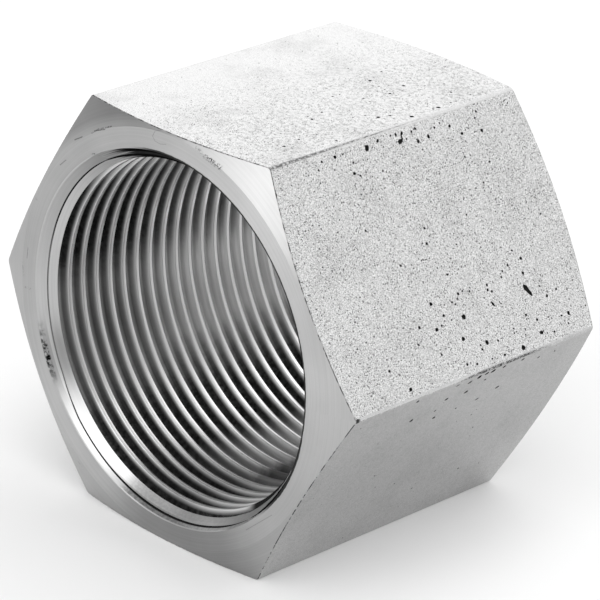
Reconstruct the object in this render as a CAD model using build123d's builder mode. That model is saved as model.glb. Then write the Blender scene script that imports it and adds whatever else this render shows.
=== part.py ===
from build123d import *
import math
import os

# Threaded pipe coupling, turned from hexagonal steel bar.
# It lies on one flat: +Z is up, the bore runs along Y and the front mouth faces -Y.
# The origin is on the bore's axis, half way along the body.

# Internal parallel pipe thread, in millimetres: its bore is turned a little wide, so the crests are flat
thread_major_diameter = 47.8
thread_height = 1.2

# The hexagonal bar round the thread, in millimetres and degrees
wall_over_thread = 3.6
body_length = 45.0
bar_edge_radius = 0.6
end_ring_inset = 0.3
corner_chamfer_angle = 18.0

# Countersunk mouths
mouth_overcut = 0.7
mouth_half_angle = 36.0

# Sizes that follow from the ones above
major_radius = thread_major_diameter / 2
minor_radius = major_radius - thread_height
mouth_radius = major_radius + mouth_overcut
mouth_depth = (mouth_radius - minor_radius) / math.tan(math.radians(mouth_half_angle))
flat_radius = major_radius + wall_over_thread
corner_radius = flat_radius / math.cos(math.radians(30))
end_ring_radius = flat_radius - end_ring_inset
chamfer_depth = (corner_radius - end_ring_radius) * math.tan(math.radians(corner_chamfer_angle))
half_length = body_length / 2


# The bar, its six long edges slightly rounded, and both ends turned to a shallow cone
with BuildPart() as coupling:
    with BuildSketch(Plane.XZ):
        RegularPolygon(radius=flat_radius, side_count=6, major_radius=False)
    extrude(amount=half_length, both=True)
    fillet(coupling.edges().filter_by(Axis.Y), bar_edge_radius)

    with BuildSketch(Plane.XY):
        with BuildLine():
            Polyline(
                (0, -half_length),
                (end_ring_radius, -half_length),
                (corner_radius, chamfer_depth - half_length),
                (corner_radius, half_length - chamfer_depth),
                (end_ring_radius, half_length),
                (0, half_length),
                close=True,
            )
        make_face()
    revolve(axis=Axis.Y, mode=Mode.INTERSECT)

    # The bore at the thread's crests, open at both countersunk mouths
    with BuildSketch(Plane.XY):
        with BuildLine():
            Polyline(
                (0, -half_length),
                (mouth_radius, -half_length),
                (minor_radius, mouth_depth - half_length),
                (minor_radius, half_length - mouth_depth),
                (mouth_radius, half_length),
                (0, half_length),
                close=True,
            )
        make_face()
    revolve(axis=Axis.Y, mode=Mode.SUBTRACT)

os.makedirs("parts", exist_ok=True)
coupling.part.label = "coupling_body"
export_step(coupling.part, "parts/coupling_body.step")
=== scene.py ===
import math
import random

import bpy
from mathutils import Matrix, Vector
from mathutils.geometry import delaunay_2d_cdt


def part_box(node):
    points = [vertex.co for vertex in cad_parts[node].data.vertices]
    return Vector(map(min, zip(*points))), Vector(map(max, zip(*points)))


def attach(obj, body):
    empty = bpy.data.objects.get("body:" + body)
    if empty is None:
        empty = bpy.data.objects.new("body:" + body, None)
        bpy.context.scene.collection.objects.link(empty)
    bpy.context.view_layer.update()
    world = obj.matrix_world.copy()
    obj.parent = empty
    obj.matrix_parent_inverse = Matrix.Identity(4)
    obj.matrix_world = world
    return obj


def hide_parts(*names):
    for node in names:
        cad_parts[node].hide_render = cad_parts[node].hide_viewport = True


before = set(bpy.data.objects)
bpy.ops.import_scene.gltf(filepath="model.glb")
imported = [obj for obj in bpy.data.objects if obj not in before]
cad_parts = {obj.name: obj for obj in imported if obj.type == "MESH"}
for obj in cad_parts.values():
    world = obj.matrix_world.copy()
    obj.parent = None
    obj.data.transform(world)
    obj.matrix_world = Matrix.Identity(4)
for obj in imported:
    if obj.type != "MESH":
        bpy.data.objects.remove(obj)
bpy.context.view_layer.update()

# All lengths are in metres. Angles round the bore are in degrees, from -X (0) over +Z (90) to +X (180).
# Depth is measured into the bore from the front face.
MM = 0.001
lowest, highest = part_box("coupling_body")
flat_radius = highest.z
half_length = highest.y
length = 2 * half_length

# Bar and end faces
bar_edge_radius = 0.6 * MM
end_ring_radius = flat_radius - 0.3 * MM
corner_chamfer_slope = math.tan(math.radians(18))

# The broken edge between chamfer and flat: its size, and the share by which it bulges to their corner
edge_break = 0.08 * MM
break_bulge = 0.42

# Thread and mouths
pitch = 2.309 * MM
major_radius = 23.9 * MM
minor_radius = 22.7 * MM
flank_angle = 27.5
flank_slope = math.tan(math.radians(flank_angle))
root_radius = 0.43 * MM
crest_fillet = 0.14 * MM
mouth_radius = 24.6 * MM
mouth_slope = math.tan(math.radians(36))
rim_break = 0.09 * MM

# The face's small lip over the mouth: its reach, its middle, and how far to both sides it is full and ends
rim_lip = 0.23 * MM
rim_lip_angle = 150
rim_lip_full, rim_lip_end = 75, 105

# The groove's depth at one angle, and the angles between which its first turn deepens
groove_start = 0.67 * MM
groove_start_angle = -5
first_groove_from, first_groove_full = 58, 72

# The fine line that the tool left on the front countersink: angle, and depth and half width in millimetres
tool_line = [
    (-128, 0.52, 0.02), (-115, 0.55, 0.13), (-80, 0.61, 0.13), (-62, 0.68, 0.08), (-45, 0.78, 0.07),
    (-30, 1.13, 0.06), (5, 1.26, 0.08), (30, 1.3, 0.09), (50, 1.37, 0.1), (58, 1.46, 0.04),
]

# Camera, fitted to the photograph, which is 600 pixels square. Its lens and sensor are in millimetres.
camera_azimuth = 44.92
camera_elevation = 23.80
camera_roll = 1.99
camera_distance = 487.8 * MM
camera_aim = Vector((0.55, 0.1, -0.74)) * MM
camera_lens = 230.1
camera_sensor = 36.0
photo_size = 600
pixels_per_mm = 7.4

# Light of the whole room, the heights in degrees between which its walls fade, and the floor's own light
room_light = 0.45
ceiling_from, ceiling_to = 24, 44
floor_glow = 0.1

# Each further light: a direction, the inner and outer half angle of its soft edge in degrees, and a strength
wall_lights = [
    ((-0.70, 0.71, 0.15), 30, 75, 1.1),
    ((0.70, 0.70, 0.15), 25, 75, 0.5),
    ((-0.36, -0.93, 0.10), 8, 24, 2.0),
]
key_lights = [
    ((0.30, -0.49, 0.82), 12, 38, 2.0),
    ((0.35, 0.15, 0.92), 15, 48, 0.8),
    ((-0.10, 0.65, 0.75), 10, 30, 0.9),
]

# Columns of the skin round the bore, and the angle of each flat
columns = 240
flats = {"upper_left": 30, "top": 90, "right": 150, "lower_right": 210, "bottom": 270, "lower_left": 330}

# Pits that can be told apart in the photograph: pixel across, pixel down, width in millimetres
pits_seen = {
    "top": [
        (284, 146.4, 0.3), (298.8, 139.3, 0.26), (312, 119.2, 0.32), (321.7, 112.2, 0.3), (307.8, 116.4, 0.2),
        (297.8, 101.3, 0.16), (332.4, 96.4, 0.24), (339.6, 94.5, 0.2), (370.2, 80.6, 0.36),
        (381.4, 71.4, 0.24), (403.4, 85.7, 0.34), (363.6, 98.3, 0.22), (369.7, 101.5, 0.2),
        (378.9, 86.2, 0.2), (384.7, 89.6, 0.18), (389.8, 93.5, 0.3), (393.9, 109.7, 0.22),
        (378.4, 117.3, 0.4), (390.1, 115.6, 0.28), (352.9, 117.4, 0.2), (411.5, 116.6, 0.42),
        (365, 115.4, 0.18), (316.6, 123.5, 0.16), (323, 144.2, 0.18), (336.5, 140.3, 0.24),
        (316.6, 134.3, 0.16), (280.9, 133.5, 0.16), (309, 107.2, 0.16), (438.3, 107.4, 0.42),
        (433.2, 109, 0.28), (451, 92.3, 0.28), (444, 84, 0.24), (450.8, 102.5, 0.22), (456.1, 101.1, 0.22),
        (480.4, 94.2, 0.2), (424.9, 85.5, 0.16), (473.3, 80.7, 0.18),
    ],
    "right": [
        (366.9, 148, 0.5), (335, 156.9, 0.32), (321.7, 162, 0.22), (318.7, 170.5, 0.2), (354.4, 173.5, 0.3),
        (360.5, 175.8, 0.2), (377.5, 140.8, 0.26), (395.5, 134.7, 0.26), (415.1, 128.6, 0.26),
        (411.5, 131.4, 0.22), (418.2, 141.3, 0.3), (390.4, 135.7, 0.18), (353.4, 162.6, 0.18),
        (383, 170.9, 0.2), (406.4, 139, 0.16), (428.3, 136.3, 0.36), (449.5, 126, 0.3), (461.9, 133.6, 0.26),
        (481.4, 130.2, 0.26), (439.5, 123.1, 0.18), (434.4, 127.6, 0.18), (464.4, 156.6, 0.16),
        (489.3, 161.7, 0.18), (483.5, 182.4, 0.18), (439.3, 173.9, 0.16), (424.5, 228.1, 0.26),
        (426.8, 243.7, 0.24), (466.3, 214.6, 0.2), (549.5, 203.4, 0.18), (540.7, 213.6, 0.18),
        (511.9, 250.4, 0.2), (520.9, 258.3, 0.3), (456.5, 244.4, 0.16), (475.9, 111.4, 0.2),
        (474.6, 118, 0.18), (504.6, 213, 0.14), (430.9, 304.1, 0.3), (463.5, 317.1, 0.42),
        (436.7, 329.9, 0.36), (463.5, 339, 0.4), (487.1, 342.3, 0.42), (523.4, 347.6, 0.42),
        (568.5, 312.9, 0.38), (537, 319.6, 0.26), (541.5, 332.3, 0.34), (554.4, 331.5, 0.22),
        (443.6, 315.8, 0.26), (441.7, 325.7, 0.2), (419.3, 327.4, 0.26), (410.8, 389.6, 0.34),
        (406.8, 388.7, 0.24), (389.4, 371.3, 0.24), (441.7, 354.7, 0.22), (467.4, 364.3, 0.26),
        (482.6, 349.4, 0.24), (418.4, 344.8, 0.22), (498, 340.6, 0.22), (526, 314.9, 0.22),
        (568.5, 323.2, 0.18), (548.6, 317.1, 0.18), (561.4, 315.4, 0.18), (495.9, 365.5, 0.3),
        (487.6, 371.5, 0.26), (504.2, 364.2, 0.22), (507.7, 265.3, 0.24), (502.3, 271, 0.2),
        (522.8, 273, 0.28), (501.3, 277, 0.2), (487, 285, 0.24), (487.7, 290, 0.24), (491.7, 291.3, 0.2),
        (458, 293.7, 0.28), (462.3, 291.2, 0.2), (469.3, 291.3, 0.2), (457.3, 298.7, 0.2), (452, 302.3, 0.2),
        (455.5, 304.4, 0.18), (444.7, 321, 0.16), (451.7, 320, 0.16), (480.7, 345, 0.18), (539.7, 286, 0.18),
        (556, 289, 0.2), (567, 289.3, 0.18), (547, 296, 0.28), (525.3, 329, 0.16), (513.7, 328.7, 0.16),
        (514.3, 333, 0.16), (505, 354.7, 0.26), (492.3, 358.7, 0.2), (477.3, 364, 0.2), (482.7, 368.3, 0.3),
        (447.3, 274.7, 0.24), (400.7, 265.7, 0.24), (365.7, 231, 0.2),
    ],
    "lower_right": [
        (468.5, 383.4, 0.2), (538.6, 358.4, 0.22), (554.7, 350.9, 0.2), (455.8, 408.3, 0.18),
        (472.7, 427.2, 0.14), (374.5, 475.8, 0.16), (411.8, 488.2, 0.16), (435.4, 411.1, 0.16),
        (485.1, 379.6, 0.24), (458.1, 468.3, 0.2),
    ],
}

# Longer marks: pixels along the mark's middle, and its width there in millimetres
gashes_seen = {
    "right": [
        [
            (401.5, 131.4, 0.25), (401.8, 133.2, 0.4), (401, 135.6, 0.18), (402.3, 138.6, 0.25),
            (400.4, 141.6, 0.6), (398.4, 143, 0.45),
        ],
        [
            (523, 285, 0.3), (525.4, 287.6, 0.75), (528, 290.6, 0.55), (530.4, 293.2, 0.5),
            (532.2, 295.6, 0.25),
        ],
        [(491.2, 301.6, 0.2), (493, 304, 0.36), (494.8, 306.2, 0.2)],
    ],
}

# Short slanted nicks: their direction in the photograph, and the middle, length and width of each in pixels
nick_slant = (0.84, -0.54)
nicks_seen = {
    "lower_right": [
        (479.6, 377, 5, 2.6), (470, 382.4, 5, 1.6), (487, 373.5, 5, 1.8), (493.4, 371, 6, 2.2),
        (500, 367.6, 6, 2.6), (504.5, 366.6, 4, 1.8), (508.3, 364.2, 5, 2.0), (515, 361.8, 6, 2.6),
        (523, 359.4, 4, 1.4), (466, 392, 5, 1.9), (446.6, 399.2, 4.5, 1.6), (417.9, 401.6, 3.6, 1.8),
        (411.3, 420.7, 4.5, 1.8), (433.7, 417.7, 3.6, 1.7), (497.2, 387.1, 5, 1.6), (476.8, 399, 4.5, 1.2),
        (435, 411, 3, 1.0), (458, 385.5, 4, 1.0), (538.6, 357.2, 3, 1.3),
    ],
}

# Marks on the front end: pixels of both ends, width in millimetres, and how dark
strokes_seen = [
    ((92, 133), (99, 129), 0.2, 0.9), ((98, 129.5), (111, 126.5), 0.16, 0.9),
    ((94, 131), (105, 129.5), 0.1, 0.7), ((196, 148), (208, 158), 0.4, 0.5),
    ((205, 157), (220, 168), 0.8, 0.9), ((210, 159), (220, 167), 0.4, 1.0), ((74, 140), (82, 137), 0.12, 0.7),
    ((92, 154), (95, 154), 0.25, 0.7), ((60, 165), (66, 160), 0.1, 0.5), ((22, 262), (24, 275), 0.16, 0.5),
    ((25, 287), (31, 289), 0.3, 0.35), ((36, 198), (38, 202), 0.3, 0.3), ((28, 248), (27, 258), 0.12, 0.4),
    ((161, 130), (155, 131), 0.06, 0.3), ((155, 131), (152.5, 136), 0.06, 0.4),
    ((152.5, 136), (155, 141), 0.06, 0.4), ((155, 141), (160, 144), 0.06, 0.35),
    ((160, 144), (166, 144.5), 0.06, 0.3), ((352, 431), (358, 425), 0.25, 0.9),
    ((356, 427), (362, 424), 0.2, 0.9), ((240, 520), (262, 512), 0.08, 0.35),
    ((246, 530), (272, 515), 0.06, 0.35), ((77, 463), (80, 467), 0.3, 0.3),
]

# Further pits, too fine to be placed one by one: how many are tried on each flat, and widths in millimetres
small_pits = {
    "upper_left": 120, "top": 160, "right": 420,
    "lower_right": 40, "bottom": 120, "lower_left": 200,
}
small_pit_widths = (0.11, 0.13, 0.15, 0.18, 0.22)

# Seen pits and nicks are made wider than they were read, to come out as dark as in the photograph
pit_growth = {"top": 1.4, "right": 1.75, "lower_right": 1.6}
nick_growth = 1.8

# Rings of a pit, from its outline to its bottom: their sizes and drops as shares. Gashes have a set depth.
ring_sizes = (1, 0.72, 0.3)
ring_drops = (0, 0.7, 1)
gash_depth = 0.2 * MM

# Pits keep clear of a flat's sides and ends, and of each other by a share of their widths and a small gap
side_margin = 0.75 * bar_edge_radius
end_margin = 4 * side_margin
pit_spacing = 0.62
pit_gap = 0.01 * MM

# Roughness of the bar's skin, and the range of a faint pattern on turned metal, as shares of its shade
bar_roughness = 0.42
faint = (0.95, 1.03)


def camera_axes():
    """The camera's right, up and back directions."""
    azimuth, elevation, roll = (math.radians(a) for a in (camera_azimuth, camera_elevation, camera_roll))
    back = Vector((
        math.cos(elevation) * math.sin(azimuth),
        -math.cos(elevation) * math.cos(azimuth),
        math.sin(elevation),
    ))
    level = Vector((0, 0, 1)).cross(back).normalized()
    upright = back.cross(level)
    right = level * math.cos(roll) + upright * math.sin(roll)
    return right, back.cross(right), back


def make_camera():
    right, up, back = camera_axes()
    data = bpy.data.cameras.new("camera")
    data.lens = camera_lens
    data.sensor_width = camera_sensor
    camera = bpy.data.objects.new("camera", data)
    turn = Matrix((right, up, back)).transposed().to_4x4()
    camera.matrix_world = Matrix.Translation(camera_aim + back * camera_distance) @ turn
    bpy.context.scene.collection.objects.link(camera)
    bpy.context.scene.camera = camera


def flat_axes(angle):
    """A flat's outward direction, and the direction across it in which the angle grows."""
    a = math.radians(angle)
    return Vector((-math.cos(a), 0, math.sin(a))), Vector((math.sin(a), 0, math.cos(a)))


def photo_ray(across, down):
    """The camera's place, and the direction in which it sees a pixel of the photograph."""
    right, up, back = camera_axes()
    reach = camera_lens / camera_sensor * photo_size
    ray = right * (across - photo_size / 2) - up * (down - photo_size / 2) - back * reach
    return camera_aim + back * camera_distance, ray


def photo_to_flat(across, down, angle):
    """Where a pixel of the photograph lies on a flat: across it, and along Y."""
    eye, ray = photo_ray(across, down)
    normal, side = flat_axes(angle)
    hit = eye + ray * ((flat_radius - eye.dot(normal)) / ray.dot(normal))
    return hit.dot(side), hit.y


def photo_to_end(across, down):
    """Where a pixel of the photograph lies on the front face."""
    eye, ray = photo_ray(across, down)
    return eye + ray * ((-half_length - eye.y) / ray.y)


class Shell:
    """The coupling's skin while it is put together: points, and faces with the name of their surface."""

    def __init__(self):
        self.points = []
        self.faces = []
        self.surfaces = []

    def point(self, place):
        self.points.append(tuple(place))
        return len(self.points) - 1

    def face(self, corners, surface):
        self.faces.append(tuple(corners))
        self.surfaces.append(surface)


def at(angle, radius, depth):
    """The point at an angle round the bore, a radius from its axis and a depth from the front face."""
    a = math.radians(angle)
    return Vector((-radius * math.cos(a), depth - half_length, radius * math.sin(a)))


def apart(a, b):
    """How far apart two angles are, in degrees."""
    return abs((a - b + 180) % 360 - 180)


def edge_half_angle():
    """Half the angle that a rounded long edge takes up, seen from the bore's axis."""
    flat_half_width = (flat_radius - bar_edge_radius) * math.tan(math.radians(30))
    return 30 - math.degrees(math.atan(flat_half_width / flat_radius))


def hexagon_radius(angle):
    """The bar's outline: the distance from the axis to its surface at an angle."""
    from_corner = (angle + 30) % 60 - 30
    if abs(from_corner) < edge_half_angle() - 1e-9:
        middle = (flat_radius - bar_edge_radius) / math.cos(math.radians(30))
        a = math.radians(from_corner)
        return middle * math.cos(a) + math.sqrt(bar_edge_radius ** 2 - (middle * math.sin(a)) ** 2)
    return flat_radius / math.cos(math.radians(30 - abs(from_corner)))


def column_angles():
    """Angles of the skin's columns: evenly spaced, and closer over each rounded long edge."""
    half = edge_half_angle()
    step = 360 / columns
    angles = [i * step for i in range(columns) if abs((i * step + 30) % 60 - 30) > half + step / 4]
    for corner in range(6):
        angles += [(60 * corner + half * share) % 360 for share in (-1, -0.5, 0, 0.5, 1)]
    return sorted(angles)


def groove_outline():
    """One groove's outline, as offsets along the axis from its middle and radii, from crest to crest."""
    flank_turn = 90 - flank_angle
    apex = major_radius + root_radius * (1 / math.sin(math.radians(flank_angle)) - 1)
    crest = (apex - minor_radius) * flank_slope
    crest_flat = crest + crest_fillet * math.tan(math.radians(flank_turn / 2))
    half = [(0.0, major_radius)]
    for turn in (31, flank_turn):
        a = math.radians(turn)
        half.append((root_radius * math.sin(a), major_radius - root_radius * (1 - math.cos(a))))
    for turn in (flank_turn, 42, 21, 0):
        a = math.radians(turn)
        along = crest_flat - crest_fillet * math.sin(a)
        half.append((along, minor_radius + crest_fillet * (1 - math.cos(a))))
    return [(-u, r) for u, r in half[:0:-1]] + half


def cone_radius(depth):
    """The wider of the two countersinks at a depth."""
    return mouth_radius - min(depth, length - depth) * mouth_slope


def ease(value, low, high):
    """A smooth step from 0 to 1 while the value goes from low to high, which may be the smaller one."""
    share = min(1.0, max(0.0, (value - low) / (high - low)))
    return share * share * (3 - 2 * share)


def tool_line_points(angle):
    """The tool's line at one angle, if it reaches that far."""
    turned = (angle + 180) % 360 - 180
    for (start, *here), (end, *there) in zip(tool_line, tool_line[1:]):
        if start < turned <= end and turned < tool_line[-1][0]:
            share = (turned - start) / (end - start)
            middle, half = ((h + share * (t - h)) * MM for h, t in zip(here, there))
            return [
                (("line", 0), middle - half, cone_radius(middle - half)),
                (("line", 1), middle, cone_radius(middle) + half),
                (("line", 2), middle + half, cone_radius(middle + half)),
            ]
    return []


def bore_outline(angle, profile):
    """The bore's outline down one column: labelled points from the front rim to the back one."""
    thread = []
    for groove in range(-2, math.ceil(length / pitch) + 2):
        if groove == 0 and angle < first_groove_from:
            continue
        centre = groove_start + pitch * ((angle - groove_start_angle) / 360 + groove)
        cut = ease(angle, first_groove_from, first_groove_full) if groove == 0 else 1.0
        for i, (along, radius) in enumerate(profile):
            cone = cone_radius(centre + along)
            reached = cone + (radius - cone) * cut if radius > cone else radius
            thread.append(((groove, i), centre + along, reached))
    outline = [(("rim", 0), rim_break, cone_radius(rim_break))]
    outline += tool_line_points(angle)
    for (label_a, depth_a, radius_a), (label_b, depth_b, radius_b) in zip(thread, thread[1:]):
        over_a = radius_a - cone_radius(depth_a)
        over_b = radius_b - cone_radius(depth_b)
        if over_a > 0 and 0 < depth_a < length:
            outline.append((label_a, depth_a, radius_a))
        if (over_a > 0) != (over_b > 0):
            share = over_a / (over_a - over_b)
            depth = depth_a + share * (depth_b - depth_a)
            if 0 < depth < length:
                entering = over_b > 0
                groove, i = label_b if entering else label_a
                if entering and i >= len(profile) - 2:
                    groove += 1
                if not entering and i <= 1:
                    groove -= 1
                label = "in" if entering else "out", groove
                outline.append((label, depth, radius_a + share * (radius_b - radius_a)))
    outline.append((("rim", 1), length - rim_break, cone_radius(length - rim_break)))
    return sorted(outline, key=lambda entry: entry[1])


def bore_surface(*stretches):
    """The surface of a face of the bore, from the labels at both ends of its stretches of outline."""
    for a, b in stretches:
        if isinstance(a[0], int) or isinstance(b[0], int) or (a[0], b[0]) == ("in", "out"):
            return "thread"
        if a[0] == b[0] == "line":
            return "line"
    return "mouth"


def bridge(shell, left, right):
    """Fills the strip between two neighbouring columns of the bore. Points with the same label are joined."""
    shared = {label for label, *_ in left} & {label for label, *_ in right}
    i = j = 0
    while i < len(left) - 1 or j < len(right) - 1:
        left_waits = i == len(left) - 1 or left[i + 1][0] in shared
        right_waits = j == len(right) - 1 or right[j + 1][0] in shared
        corners = [left[i][3]]
        stretches = []
        step_left = right_waits or (not left_waits and left[i + 1][1] < right[j + 1][1])
        step_right = left_waits if right_waits else not step_left
        if step_left:
            stretches.append((left[i][0], left[i + 1][0]))
            i += 1
            corners.append(left[i][3])
        if step_right:
            stretches.append((right[j][0], right[j + 1][0]))
            corners.append(right[j + 1][3])
        corners.append(right[j][3])
        if step_right:
            j += 1
        shell.face(corners, bore_surface(*stretches))


def end_outline(angle):
    """An end from the mouth's rim over face and chamfer to the flat: surface, radius and depth of each point.

    On the right the face reaches a little over the mouth, as a lip.
    """
    outer = hexagon_radius(angle)
    corner = outer, (outer - end_ring_radius) * corner_chamfer_slope
    before = outer - edge_break, (outer - edge_break - end_ring_radius) * corner_chamfer_slope
    after = outer, corner[1] + edge_break
    lip = rim_lip * ease(apart(angle, rim_lip_angle), rim_lip_end, rim_lip_full)
    line = [
        ("rim", mouth_radius + rim_break - lip, 0.0),
        ("face", end_ring_radius, 0.0),
        ("chamfer", *before),
    ]
    for share in (1 / 3, 2 / 3):
        chord = [b + share * (a - b) for a, b in zip(after, before)]
        line.append(("break", *(c + break_bulge * (k - c) for c, k in zip(chord, corner))))
    line.append(("break", *after))
    return line


def pit_rings(centre, width, chance):
    """An uneven pit round a point on a flat: its outline and two smaller rings inside it."""
    count = 7 if width < 0.2 * MM else 10
    stretch = chance.uniform(0.75, 1.0)
    lean = chance.uniform(0, math.pi)
    outline = []
    for i in range(count):
        a = 2 * math.pi * i / count
        reach = width / 2 * chance.uniform(0.72, 1.18)
        x, y = reach * math.cos(a), reach * stretch * math.sin(a)
        outline.append((x * math.cos(lean) - y * math.sin(lean), x * math.sin(lean) + y * math.cos(lean)))
    return [[(centre[0] + size * x, centre[1] + size * y) for x, y in outline] for size in ring_sizes]


def gash_rings(path):
    """A longer mark: its outline and two narrower rings inside it, from places along it with their widths."""
    rings = []
    for size in ring_sizes:
        left, right = [], []
        for i, (x, y, width) in enumerate(path):
            x0, y0, _ = path[max(i - 1, 0)]
            x1, y1, _ = path[min(i + 1, len(path) - 1)]
            run = math.hypot(x1 - x0, y1 - y0)
            nx = -(y1 - y0) / run * width / 2 * size
            ny = (x1 - x0) / run * width / 2 * size
            left.append((x + nx, y + ny))
            right.append((x - nx, y - ny))
        rings.append(right + left[::-1])
    return rings


def nick_path(px, py, run, width, angle):
    """A short slanted nick as a path on its flat: pointed at its upper end and narrow at its lower one."""
    path = []
    for share, thickness in ((-0.5, 0.5), (0.1, 1), (0.5, 0.4)):
        place = photo_to_flat(px + nick_slant[0] * run * share, py + nick_slant[1] * run * share, angle)
        path.append((*place, nick_growth * width / pixels_per_mm * MM * thickness))
    return path


def pits_on(name):
    """Every pit of a flat: its rings and its depth. Seen pits come first, and the small ones keep clear."""
    angle = flats[name]
    chance = random.Random(angle)
    half_width = flat_radius * math.tan(math.radians(30))
    pits = []
    taken = []

    def free(x, y, width):
        if abs(x) > half_width - side_margin - width / 2 or abs(y) > half_length - end_margin - width / 2:
            return False
        return all(math.hypot(x - tx, y - ty) > pit_spacing * (width + tw) + pit_gap for tx, ty, tw in taken)

    for path in gashes_seen.get(name, []):
        placed = [(*photo_to_flat(px, py, angle), width * MM) for px, py, width in path]
        pits.append((gash_rings(placed), gash_depth))
        taken += placed
    for nick in nicks_seen.get(name, []):
        placed = nick_path(*nick, angle)
        if all(free(*place) for place in placed):
            pits.append((gash_rings(placed), gash_depth))
            taken += placed
    wanted = []
    for px, py, width in pits_seen.get(name, []):
        wanted.append((*photo_to_flat(px, py, angle), pit_growth[name] * width * MM))
    for _ in range(small_pits[name]):
        place = chance.uniform(-half_width, half_width), chance.uniform(-half_length, half_length)
        wanted.append((*place, chance.choice(small_pit_widths) * MM))
    for x, y, width in wanted:
        if free(x, y, width):
            pits.append((pit_rings((x, y), width, chance), width * chance.uniform(0.4, 0.6)))
            taken.append((x, y, width))
    return pits


def flat_with_pits(shell, name, front, back):
    """One flat between its front and back chains of points, with its pits sunk into it."""
    normal, side = flat_axes(flats[name])

    def on_flat(x, y, drop=0.0):
        return shell.point(normal * (flat_radius - drop) + side * x + Vector((0, y, 0)))

    known = front + back[::-1]
    spots = [Vector((Vector(shell.points[i]).dot(side), shell.points[i][1])) for i in known]
    regions = [list(range(len(known)))]
    sunk = []
    for rings, depth in pits_on(name):
        chains = [[on_flat(x, y, depth * drop) for x, y in ring] for ring, drop in zip(rings, ring_drops)]
        regions.append(list(range(len(known), len(known) + len(chains[0]))))
        known += chains[0]
        spots += [Vector(spot) for spot in rings[0]]
        sunk.append(chains)
    found, _, faces, origins, _, inside = delaunay_2d_cdt([s / MM for s in spots], [], regions, 1, 1e-6)
    index = []
    for place, sources in zip(found, origins):
        index.append(known[sources[0]] if sources else on_flat(place.x * MM, place.y * MM))
    for corners, owners in zip(faces, inside):
        if list(owners) == [0]:
            shell.face([index[c] for c in corners], name)
    for chains in sunk:
        for upper, lower in zip(chains, chains[1:]):
            for i in range(len(upper)):
                k = (i + 1) % len(upper)
                shell.face([upper[i], upper[k], lower[k], lower[i]], "pit")
        shell.face(chains[-1], "pit")


def add_bore(shell, angles):
    """Adds the bore with its thread and both countersinks, and gives its columns of labelled points."""
    profile = groove_outline()
    bore = []
    for angle in angles:
        outline = bore_outline(angle, profile)
        bore.append([(label, d, r, shell.point(at(angle, r, d))) for label, d, r in outline])
    closing = [
        (label, d, r, entry[3])
        for (label, d, r), entry in zip(bore_outline(angles[0] + 360, profile), bore[0])
    ]
    for left, right in zip(bore, bore[1:] + [closing]):
        bridge(shell, left, right)
    return bore


def add_ends(shell, angles, bore):
    """Adds both ends and the bar's long edges, and gives the front and back points of each column."""
    ends = []
    for angle in angles:
        line = end_outline(angle)
        front = [shell.point(at(angle, r, d)) for _, r, d in line]
        back = [shell.point(at(angle, r, length - d)) for _, r, d in line]
        ends.append((front, back))
    surfaces = [surface for surface, _, _ in end_outline(0)]
    for i in range(len(angles)):
        k = (i + 1) % len(angles)
        for side, (a, b) in enumerate([(i, k), (k, i)]):
            here, there = ends[a][side], ends[b][side]
            shell.face([bore[a][-side][3], bore[b][-side][3], there[0], here[0]], "rim")
            for j in range(len(here) - 1):
                shell.face([here[j], there[j], there[j + 1], here[j + 1]], surfaces[j + 1])
        middle = (angles[i] + (angles[k] - angles[i]) % 360 / 2 + 30) % 60 - 30
        if abs(middle) < edge_half_angle():
            shell.face([ends[i][0][-1], ends[k][0][-1], ends[k][1][-1], ends[i][1][-1]], "edge")
    return ends


def add_flats(shell, angles, ends):
    """Adds the six flats with their pits."""
    half_flat = 30 - edge_half_angle() + 1e-6
    for name, angle in flats.items():
        in_order = sorted(enumerate(angles), key=lambda entry: (entry[1] - angle + 180) % 360)
        on_flat = [i for i, a in in_order if apart(a, angle) < half_flat]
        front = [ends[i][0][-1] for i in on_flat]
        back = [ends[i][1][-1] for i in on_flat]
        flat_with_pits(shell, name, front, back)


def build_shell():
    """The whole skin: the bore, both ends with the long edges, and the flats."""
    shell = Shell()
    angles = column_angles()
    bore = add_bore(shell, angles)
    ends = add_ends(shell, angles, bore)
    add_flats(shell, angles, ends)
    return shell


class Value:
    """A number or a vector that varies over a surface. Arithmetic with it adds nodes to its tree."""

    def __init__(self, nodes, socket):
        self.nodes = nodes
        self.socket = socket

    def __add__(self, other):
        return self.nodes.math("ADD", self, other)

    def __sub__(self, other):
        return self.nodes.math("SUBTRACT", self, other)

    def __rsub__(self, other):
        return self.nodes.math("SUBTRACT", other, self)

    def __mul__(self, other):
        return self.nodes.math("MULTIPLY", self, other)

    def __truediv__(self, other):
        return self.nodes.math("DIVIDE", self, other)

    def __abs__(self):
        return self.nodes.math("ABSOLUTE", self)

    __radd__ = __add__

    def limited(self):
        """The value, kept from 0 to 1."""
        return self.nodes.math("ADD", self, 0.0, clamp=True)

    def spread(self, low, high, to_low=0.0, to_high=1.0):
        """A smooth change from to_low to to_high while the value goes from low to high."""
        settings = {"interpolation_type": "SMOOTHSTEP"}
        sockets = {"Value": self, "From Min": low, "From Max": high, "To Min": to_low, "To Max": to_high}
        return self.nodes.add("ShaderNodeMapRange", settings, sockets)

    def fade(self, low, high):
        """1 up to low, and smoothly down to 0 at high."""
        return self.spread(low, high, 1.0, 0.0)

    def mix(self, a, b):
        """a where the value is 0, b where it is 1, and in proportion between."""
        return a + self * (b - a)


def most(first, *others):
    """The greatest of several values at each place."""
    for other in others:
        first = first.nodes.math("MAXIMUM", first, other)
    return first


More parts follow.
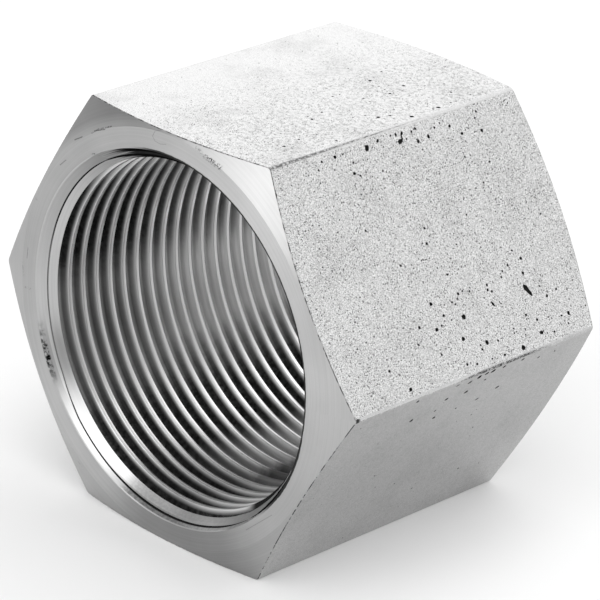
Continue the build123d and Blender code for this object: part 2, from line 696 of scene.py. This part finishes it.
class Nodes:
    """Builds a node tree. A Value is linked to its socket, and anything else is set on it."""

    def __init__(self, tree):
        self.tree = tree

    def add(self, kind, settings=None, inputs=None, output=0):
        """Adds a node with its settings and inputs, and gives one of its outputs."""
        node = self.tree.nodes.new(kind)
        for name, value in (settings or {}).items():
            setattr(node, name, value)
        for name, value in (inputs or {}).items():
            self.put(value, node.inputs[name])
        return Value(self, node.outputs[output])

    def put(self, value, socket):
        if isinstance(value, Value):
            self.tree.links.new(value.socket, socket)
        else:
            socket.default_value = value

    def math(self, operation, *values, clamp=False):
        settings = {"operation": operation, "use_clamp": clamp}
        return self.add("ShaderNodeMath", settings, dict(enumerate(values)))

    def vector(self, operation, *values, **named):
        """A vector operation. Lengths and products come out as a number, and the others as a vector."""
        output = "Value" if operation in ("LENGTH", "DOT_PRODUCT") else "Vector"
        inputs = {**dict(enumerate(values)), **named}
        return self.add("ShaderNodeVectorMath", {"operation": operation}, inputs, output)

    def join(self, x, y, z):
        return self.add("ShaderNodeCombineXYZ", {}, {"X": x, "Y": y, "Z": z})


class Metal(Nodes):
    """A metal material, with places on the coupling in millimetres and degrees to build its pattern from."""

    def __init__(self, name):
        self.material = bpy.data.materials.new(name)
        self.material.use_nodes = True
        super().__init__(self.material.node_tree)
        self.shader = self.tree.nodes["Principled BSDF"]
        self.place = self.vector("SCALE", self.add("ShaderNodeTexCoord", output="Object"), Scale=1 / MM)
        self.x, self.y, self.z = (
            self.add("ShaderNodeSeparateXYZ", {}, {0: self.place}, axis) for axis in "XYZ"
        )
        self.radius = self.math("SQRT", self.x * self.x + self.z * self.z)
        self.turn = self.math("ARCTAN2", self.z, self.x * -1.0)
        self.degrees = self.math("DEGREES", self.turn)
        self.depth = self.y + half_length / MM

    def noise(self, scale, detail=2.0, roughness=0.5, place=None):
        sockets = {"Vector": place or self.place, "Scale": scale, "Detail": detail, "Roughness": roughness}
        return self.add("ShaderNodeTexNoise", {}, sockets)

    def arc(self, middle, inner, outer, uneven=0.0):
        """1 round an angle of the bore, out to the inner number of degrees, and 0 beyond the outer one."""
        degrees = self.degrees
        if uneven:
            degrees = degrees + (self.noise(0.3, 4.0, 0.65) * 5.0 - 2.5) * uneven
        return abs(self.math("WRAP", degrees - middle, 180.0, -180.0)).fade(inner, outer)

    def turned_sheen(self, strength):
        """Reflections spread across the marks of a turning tool, which run round the bore's axis."""
        self.shader.inputs["Anisotropic"].default_value = strength
        self.shader.inputs["Anisotropic Rotation"].default_value = 0.25
        tangent = self.add("ShaderNodeTangent", {"direction_type": "RADIAL", "axis": "Y"})
        self.put(tangent, self.shader.inputs["Tangent"])

    def finish(self, shade, roughness, metallic=1.0, height=None, distance=0.002, specular=0.5):
        """Sets the shader: a grey of the given shade, and a bump, in millimetres, where there is a height."""
        colour = self.add("ShaderNodeCombineColor", {}, {0: shade, 1: shade, 2: shade})
        self.put(colour, self.shader.inputs["Base Color"])
        self.put(metallic, self.shader.inputs["Metallic"])
        self.put(roughness, self.shader.inputs["Roughness"])
        self.shader.inputs["Specular IOR Level"].default_value = specular
        if height is not None:
            bump = self.add("ShaderNodeBump", {}, {"Height": height, "Distance": distance * MM})
            self.put(bump, self.shader.inputs["Normal"])
        return self.material


def bar_shade(metal, grain, dots, mottle, clouds):
    """The bar's skin and its dots: grain, scattered dots, mottling and clouds, each as dark as asked."""
    fine = metal.noise(8.0, 1.0, 0.6).spread(0.38, 0.62)
    patches = metal.noise(0.35, 3.0, 0.6).spread(0.38, 0.6, 0.35, 1.0)
    spots = metal.noise(5.5, 1.0, 0.5).spread(0.62, 0.7) * patches
    mottling = metal.noise(1.6, 4.0, 0.7).spread(0.45, 0.65)
    cloud = metal.noise(0.16, 4.0, 0.6).spread(0.45, 0.7)
    dark = fine * grain + spots * dots + mottling * mottle + cloud * clouds
    return (1.0 - dark).limited(), spots


def bar_material(name, colour, grain, dots, mottle, clouds, painted_light_low=0.0):
    """A flat's skin, with painted light towards the floor where asked."""
    metal = Metal(name)
    shade, spots = bar_shade(metal, grain, dots, mottle, clouds)
    paler = metal.z.spread(-27.5, -12.0, 1.0 + painted_light_low, 1.0)
    return metal.finish(shade * paler * colour, bar_roughness, height=spots * (-dots / 2), distance=0.01)


def top_material():
    """The top flat: nearly white, and more mottled and dotted towards its right edge."""
    metal = Metal("bar_top")
    toward_edge = metal.x.spread(-14.0, 10.0)
    dots, mottle = toward_edge.mix(0.3, 1.4), toward_edge.mix(0.06, 0.3)
    shade, spots = bar_shade(metal, grain=0.26, dots=dots, mottle=mottle, clouds=0.1)
    shade = shade * toward_edge.mix(0.86, 0.84)
    return metal.finish(shade, bar_roughness, height=spots * -0.3, distance=0.01)


def edge_seam(metal, corner, uneven, half_width, aside=0.0):
    """A rough dark line along one long edge: 1 inside it. Its half width and its shift are in millimetres."""
    off_corner = metal.math("WRAP", metal.turn - math.radians(corner), math.pi, -math.pi)
    across = off_corner * (flat_radius / MM / math.cos(math.radians(30))) - aside
    return (half_width - (abs(across) + uneven * 0.7)).spread(-0.05, 0.03)


def edge_material():
    """The bar's rounded long edges: as its flats, with rough dark seams along the two right ones."""
    metal = Metal("bar_edge")
    shade, _ = bar_shade(metal, grain=0.15, dots=0.3, mottle=0.05, clouds=0.05)
    uneven = metal.noise(3.0, 4.0, 0.75) - 0.5
    upper_width = metal.y.spread(-20.0, -8.0, 0.26, 0.14) * metal.y.spread(-8.0, 8.0, 1.0, 0.3)
    upper = edge_seam(metal, 120, uneven, upper_width) * metal.y.spread(-8.0, 16.0, 0.85, 0.35)
    broken = metal.noise(0.9, 3.0, 0.6).spread(0.36, 0.5, 0.3, 1.0)
    lower_width = metal.y.spread(-4.0, 0.5).mix(0.04, broken * 0.34)
    lower = edge_seam(metal, 180, uneven, lower_width, 0.2) * metal.y.spread(9.0, 14.0, 1.0, 0.25)
    corner = edge_seam(metal, 180, uneven, 0.3, 0.1) * metal.y.fade(-20.6, -20.1)
    speckled = metal.noise(3.0, 3.0, 0.7).spread(0.42, 0.55, 0.3, 1.0)
    seam = most(most(upper, lower) * speckled, corner)
    return metal.finish(seam.mix(shade * 0.66, 0.04), bar_roughness)


def break_material():
    """The thin broken edges where the chamfers meet the flats."""
    metal = Metal("broken_edge")
    return metal.finish(metal.noise(1.2, 4.0, 0.7).spread(0.42, 0.62, 0.04, 0.5), 0.5)


def turning_marks(metal, fineness=5.0):
    """Fine uneven rings about the bore's axis."""
    rings = metal.join(metal.radius * fineness, metal.turn, metal.y * fineness)
    return metal.noise(1.0, 3.0, 0.6, rings)


def end_shade(metal, marks):
    """Light and dark on the turned ends: tool marks, clouds, a darker foot, painted shade on the left and
    painted light on the right side.
    """
    cloud = metal.noise(0.12, 3.0, 0.5)
    shade = marks.spread(0.3, 0.7, *faint) * cloud.spread(0.3, 0.7, *faint)
    darker_foot = 1.0 - metal.arc(-98, 14, 36) * 0.37
    # Painted shade on the left, and painted light on the right
    left = 1.0 - metal.arc(30, 25, 60) * 0.12
    painted_light_right = 1.0 + metal.arc(145, 20, 60) * 0.14
    return shade * left * darker_foot * painted_light_right


def end_marks(metal):
    """The marks seen on the front end, from 0 to 1. The wider ones are speckled."""
    flat_place = metal.join(metal.x, -half_length / MM, metal.z)
    uneven = metal.noise(5.0, 3.0, 0.7) * 1.2 - 0.6
    speckled = metal.noise(4.0, 3.0, 0.7).spread(0.46, 0.6)
    dark = 0.0
    for start, end, width, strength in strokes_seen:
        a, b = (photo_to_end(*spot) / MM for spot in (start, end))
        from_a = metal.vector("SUBTRACT", flat_place, a)
        along = metal.vector("DOT_PRODUCT", from_a, (b - a) / (b - a).length_squared)
        reached = metal.vector("SCALE", b - a, Scale=along.limited())
        away = metal.vector("LENGTH", metal.vector("SUBTRACT", from_a, reached))
        stroke = (away + uneven * width).spread(width * 0.3, width * 0.5 + 0.04, strength, 0.0)
        dark = most(stroke * speckled if width > 0.15 else stroke, dark)
    return dark * metal.y.fade(0.0, 0.1)


def rim_scuff(metal):
    """The dark scuff across the mouth's rim on the left."""
    return metal.arc(-23, 3, 11) * metal.noise(1.6, 3.0, 0.6).spread(0.35, 0.6)


def face_material():
    """The turned end faces, with a scuff at the mouth's rim on the left, and painted shadow round the mouth
    on its right side.
    """
    metal = Metal("turned_face")
    marks = turning_marks(metal)
    scuff = rim_scuff(metal) * metal.radius.fade(24.75, 25.0)
    # Painted shadow: a dark ring on the face at the mouth's rim, round its right side
    reach = metal.radius + metal.noise(1.5, 3.0, 0.6) * 0.16 - metal.arc(-157, 6, 16) * 0.12
    painted_shade = reach.fade(24.72, 24.8) * metal.arc(150, 66, 78)
    dark = most(scuff, painted_shade, end_marks(metal))
    metal.turned_sheen(0.75)
    return metal.finish(dark.mix(end_shade(metal, marks) * 0.46, 0.03), 0.34, height=marks)


def rim_material():
    """The broken edge between face and countersink: painted shade along its right side, where it turns from
    view.
    """
    metal = Metal("mouth_rim")
    dark = most(metal.arc(160, 48, 62, 1.0), rim_scuff(metal))
    metal.turned_sheen(0.7)
    return metal.finish(dark.mix(0.5, 0.015), 0.36, height=turning_marks(metal))


def chamfer_material():
    """The corner chamfers, smoother than the faces, and with painted shade on their outer part at the upper
    left.
    """
    metal = Metal("turned_chamfer")
    marks = turning_marks(metal)
    # Painted shade on the outer part of the chamfer at the upper left
    painted_dimming = 1.0 - metal.arc(60, 12, 35) * metal.radius.spread(27.3, 29.0, 0.0, 0.3)
    shade = end_marks(metal).mix(end_shade(metal, marks) * painted_dimming * 0.44, 0.04)
    metal.turned_sheen(0.7)
    return metal.finish(shade, 0.3, height=marks)


def painted_top_shade(metal, marks):
    """Painted shade along the top of the mouth, with a streaky edge and a tongue that follows the tool's
    line.
    """
    shade_pool = (metal.degrees + marks * 22.0).spread(69.0, 81.0) * metal.arc(87, 32, 42)
    middle = metal.degrees * 0.036 - 0.596
    half_width = metal.degrees * 0.0145 - 0.732
    tongue = (half_width - abs(metal.depth - middle)).spread(-0.05, 0.03) * metal.arc(68, 10, 14)
    return most(shade_pool, tongue)


def painted_foot_shade(metal):
    """Painted shadow at the mouth's lower right: a band along the tool's line, and all of the mouth's inner
    part.
    """
    uneven = metal.depth + metal.noise(1.5, 3.0, 0.6) * 0.3 - 0.15
    swell = metal.arc(-149, 3, 19)
    past_start = (uneven - (0.45 - swell * 0.3)).spread(-0.08, 0.08)
    before_end = (0.68 + swell * 0.5 - uneven).spread(-0.08, 0.08)
    band = past_start * before_end * metal.arc(-143, 12, 16)
    inner = (uneven - (1.55 + metal.arc(-152, 4, 22) * 0.6)).spread(-0.06, 0.1)
    inner = inner * metal.degrees.spread(-179.0, -157.0) * metal.degrees.fade(-127.0, -121.0)
    return most(band, inner) * metal.depth.fade(5.0, 8.0)


def mouth_material():
    """The countersinks: worn and speckled at the foot, with painted light at its left, upper left and foot,
    and painted shade at the top and lower right.
    """
    metal = Metal("countersink")
    marks = turning_marks(metal)
    depth = metal.depth
    specks = metal.noise(2.5, 3.0, 0.6).spread(0.4, 0.6, 1.0, 0.5)
    foot = metal.degrees.spread(-150.0, -84.0) * metal.degrees.fade(-74.0, -70.0)
    worn = foot * specks * depth.spread(0.45, 0.7, 1.0, 0.4)
    scuff = rim_scuff(metal) * depth.fade(0.35, 0.5)
    painted_dark = most(painted_top_shade(metal, marks), painted_foot_shade(metal))
    # Worn specks and the scuff are the metal's own marks, and the rest of this darkening is painted shade,
    # which also makes the metal rougher and less metallic
    dark = most(worn * 0.5, scuff, painted_dark)
    # Painted light: lighter bands at the left, at the upper left farther in, and at the foot
    painted_light_left = metal.arc(-26, 7, 16) * depth.spread(0.7, 0.8) * depth.fade(0.98, 1.08)
    inner = depth.spread(1.2, 1.5) * metal.arc(50, 18, 60)
    painted_light_foot = depth.spread(0.8, 1.0) * metal.arc(-79, 8, 22)
    tone = painted_light_left.mix(0.54 + inner * 0.18 + painted_light_foot * 0.3, 0.75)
    shade = dark.mix(tone, 0.005) * marks.spread(0.3, 0.7, *faint)
    metal.turned_sheen(0.7)
    return metal.finish(shade, painted_dark.mix(0.36, 0.8), metallic=1.0 - painted_dark, height=marks, specular=0.0)


def line_material():
    """The tool's line, nearly black apart from its lighter middle stretch."""
    metal = Metal("tool_line")
    return metal.finish(metal.arc(-12, 18, 36) * 0.2 + 0.015, 0.5)


def thread_phase(metal):
    """The place across the thread: 0 and 1 at the middle of a groove, 0.5 at the middle of a crest."""
    helix = (metal.turn - math.radians(groove_start_angle)) / (2 * math.pi)
    return metal.math("FRACT", (metal.depth - groove_start / MM) / (pitch / MM) - helix)


def painted_flank_shade(metal, sunk):
    """Where the thread's flanks get painted shade: at the upper left, the left and the foot, most in front
    turns.
    """
    depth = metal.depth
    past_foot = metal.degrees.spread(-84.0, -66.0)
    foot = metal.arc(-95, 42, 70, 3.0) * past_foot.mix(depth.spread(10.0, 18.0, 1.0, 0.1), 1.0)
    upper = metal.arc(20, 12, 28, 2.0) * depth.spread(12.0, 28.0, 1.0, 0.6)
    left = metal.arc(-20, 26, 44, 4.0) * depth.spread(6.0, 24.0, 0.3, 0.0)
    free = (1.0 - upper) * (1.0 - left) * (1.0 - foot)
    along_thread = metal.join(metal.turn * (major_radius / MM), depth * 0.4, sunk)
    return (1.0 - free) * metal.noise(1.6, 3.0, 0.6, along_thread).spread(0.3, 0.7, 0.9, 1.0)


def painted_front_shade(metal, phase, marks):
    """Painted shade over the first turns: from the mouth's top and foot, under its lip, and on the near
    flanks.
    """
    depth = metal.depth
    top = painted_top_shade(metal, marks) * depth.fade(2.1, 2.5)
    under_lip = (metal.degrees + depth * 6.7).spread(99.0, 103.0) * depth.fade(7.0, 10.0)
    under_lip = under_lip * metal.arc(85, 28, 36)
    near_flank = phase.spread(0.6, 0.65) * phase.fade(0.72, 0.8) * metal.arc(38, 24, 32)
    return most(top, painted_foot_shade(metal), under_lip, near_flank)


def painted_thread_shade(metal, sunk, phase, marks):
    """How much painted shade the thread has, from 0 to 1: on its flanks, past its crests as a shadow line,
    and in a dark patch far in.
    """
    uneven = sunk + (marks - 0.5) * 0.3
    flank_from = (1.0 - metal.arc(-30, 36, 80)) * 0.2
    on_flank = (uneven - flank_from).spread(0.0, 0.6) * painted_flank_shade(metal, sunk)
    earlier = phase + metal.arc(58, 18, 30) * 0.05
    past_crest = earlier.spread(0.48, 0.58) * sunk.fade(0.05, 0.2)
    past_crest = past_crest * most(0.9 - metal.arc(-25, 34, 50), 0.0)
    shade_pool = metal.arc(-101, 5, 13, 2.0) * metal.depth.spread(11.0, 16.0, 0.0, 0.85)
    return most(on_flank, past_crest, painted_front_shade(metal, phase, marks), shade_pool)


def thread_material():
    """The thread: turned metal with painted shade in patches and on the far flanks, and painted light on some
    crests, flanks and the deep roots.
    """
    metal = Metal("thread")
    marks = turning_marks(metal, 3.0)
    phase = thread_phase(metal)
    sunk = metal.radius - minor_radius / MM
    deep = metal.depth.spread(10.0, 28.0)
    # Painted light: crests lighter at the lower and upper left, flanks lighter far in at the left and the
    # foot, and roots lighter farther in
    painted_crest_light = most(metal.arc(-68, 14, 34), metal.arc(24, 8, 20))
    crest = deep.mix(0.82, 0.6) + painted_crest_light * 0.3
    painted_flank_light = most(metal.arc(-20, 8, 22), metal.arc(-88, 10, 22))
    flank = 0.45 + painted_flank_light * deep * 0.3
    tone = sunk.spread(0.0, 0.5).mix(crest, flank)
    tone = sunk.spread(0.85, 1.1).mix(tone, deep.mix(0.8, 1.0))
    # Painted shade on the far flank below each crest, left off where it is lit
    far_flank = phase.spread(-0.02, 0.12) * phase.fade(0.33, 0.46)
    lit = most(metal.arc(-112, 8, 24), metal.arc(65, 15, 35))
    painted_dimming = lit.mix(deep.mix(0.6, 0.3), 0.0) * far_flank
    tone = tone * (1.0 - painted_dimming) * marks.spread(0.3, 0.7, 0.9, 1.05)
    painted_shade = painted_thread_shade(metal, sunk, phase, marks)
    shade = metal.math("MINIMUM", painted_shade.mix(tone, 0.01), 1.0)
    metal.turned_sheen(0.5)
    metallic = 1.0 - painted_shade * 0.6
    return metal.finish(shade, 0.4, metallic, height=marks, distance=0.003, specular=0.0)


def pit_material():
    """The inside of pits, gashes and nicks, nearly black."""
    metal = Metal("pit")
    shade = metal.noise(8.0).spread(0.3, 0.7, 0.004, 0.02)
    return metal.finish(shade, 0.8, metallic=0.0, specular=0.1)


def mark_sharp_edges(mesh, surfaces):
    """An edge is sharp where two surfaces meet, or where its faces turn by more than 35 degrees."""
    sides = {}
    for polygon in mesh.polygons:
        for key in polygon.edge_keys:
            sides.setdefault(key, []).append(polygon.index)
    normals = [polygon.normal.copy() for polygon in mesh.polygons]
    limit = math.cos(math.radians(35))
    sharp = mesh.attributes.new("sharp_edge", "BOOLEAN", "EDGE")
    for edge in mesh.edges:
        a, b = sides[edge.key]
        sharp.data[edge.index].value = surfaces[a] != surfaces[b] or normals[a].dot(normals[b]) < limit


def make_coupling():
    shell = build_shell()
    mesh = bpy.data.meshes.new("coupling")
    mesh.from_pydata(shell.points, [], shell.faces)
    materials = {
        "top flat": top_material(),
        "speckled flat": bar_material(
            "bar_speckled", colour=0.87, grain=0.45, dots=2.0, mottle=0.06, clouds=0.06
        ),
        # The lower right and bottom flats: a darker copy of the skin as painted shade, with painted light
        # towards the floor
        "shaded flat": bar_material(
            "bar_shaded", colour=0.49, grain=0.2, dots=0.2, mottle=0.08, clouds=0.06, painted_light_low=0.22
        ),
        "edge": edge_material(),
        "break": break_material(),
        "face": face_material(),
        "rim": rim_material(),
        "chamfer": chamfer_material(),
        "mouth": mouth_material(),
        "line": line_material(),
        "thread": thread_material(),
        "pit": pit_material(),
    }
    used = {
        "top": "top flat", "upper_left": "speckled flat",
        "right": "speckled flat", "lower_left": "speckled flat",
        "lower_right": "shaded flat", "bottom": "shaded flat",
        "edge": "edge", "break": "break",
        "rim": "rim", "face": "face", "chamfer": "chamfer",
        "mouth": "mouth", "line": "line", "thread": "thread", "pit": "pit",
    }
    order = list(materials)
    for material in materials.values():
        mesh.materials.append(material)
    for polygon, surface in zip(mesh.polygons, shell.surfaces):
        polygon.material_index = order.index(used[surface])
        polygon.use_smooth = surface not in flats
    mesh.validate()
    mark_sharp_edges(mesh, shell.surfaces)
    coupling = bpy.data.objects.new("coupling", mesh)
    bpy.context.scene.collection.objects.link(coupling)
    return coupling


def seen_directly(nodes):
    """1 for rays from the camera, and for those that metal or glass sends on, and 0 for others."""
    kinds = ("Is Camera Ray", "Is Glossy Ray", "Is Transmission Ray")
    return most(*(nodes.add("ShaderNodeLightPath", output=kind) for kind in kinds))


def floor_material():
    material = bpy.data.materials.new("floor")
    material.use_nodes = True
    nodes = Nodes(material.node_tree)
    shader = nodes.tree.nodes["Principled BSDF"]
    shader.inputs["Base Color"].default_value = (0.74, 0.74, 0.74, 1)
    shader.inputs["Roughness"].default_value = 0.9
    shader.inputs["Specular IOR Level"].default_value = 0.0
    shader.inputs["Emission Color"].default_value = (1, 1, 1, 1)
    nodes.put(seen_directly(nodes) * floor_glow, shader.inputs["Emission Strength"])
    return material


def make_floor():
    reach = 1.5
    corners = [(x * reach, y * reach, lowest.z) for x, y in ((-1, -1), (1, -1), (1, 1), (-1, 1))]
    mesh = bpy.data.meshes.new("floor")
    mesh.from_pydata(corners, [], [(0, 1, 2, 3)])
    mesh.materials.append(floor_material())
    floor = bpy.data.objects.new("floor", mesh)
    bpy.context.scene.collection.objects.link(floor)


def make_world():
    """A studio: a dim room with paler walls near the floor, and soft lamps."""
    world = bpy.data.worlds.new("studio")
    bpy.context.scene.world = world
    world.use_nodes = True
    nodes = Nodes(world.node_tree)
    way = nodes.add("ShaderNodeTexCoord", output="Generated")

    def glow(lights):
        total = 0.0
        for toward, inner, outer, strength in lights:
            facing = nodes.vector("DOT_PRODUCT", way, Vector(toward).normalized())
            low, high = (math.cos(math.radians(angle)) for angle in (outer, inner))
            total = facing.spread(low, high, 0.0, strength) + total
        return total

    height = nodes.add("ShaderNodeSeparateXYZ", {}, {0: way}, "Z")
    low, high = (math.sin(math.radians(angle)) for angle in (ceiling_from, ceiling_to))
    total = glow(wall_lights) * height.fade(low, high) + glow(key_lights) + room_light
    background = world.node_tree.nodes["Background"]
    nodes.put(total, background.inputs["Strength"])
    background.inputs["Color"].default_value = (1, 1, 1, 1)


make_camera()
coupling = make_coupling()
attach(coupling, "root")
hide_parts("coupling_body")
make_floor()
make_world()
bpy.context.scene.view_settings.view_transform = "Standard"
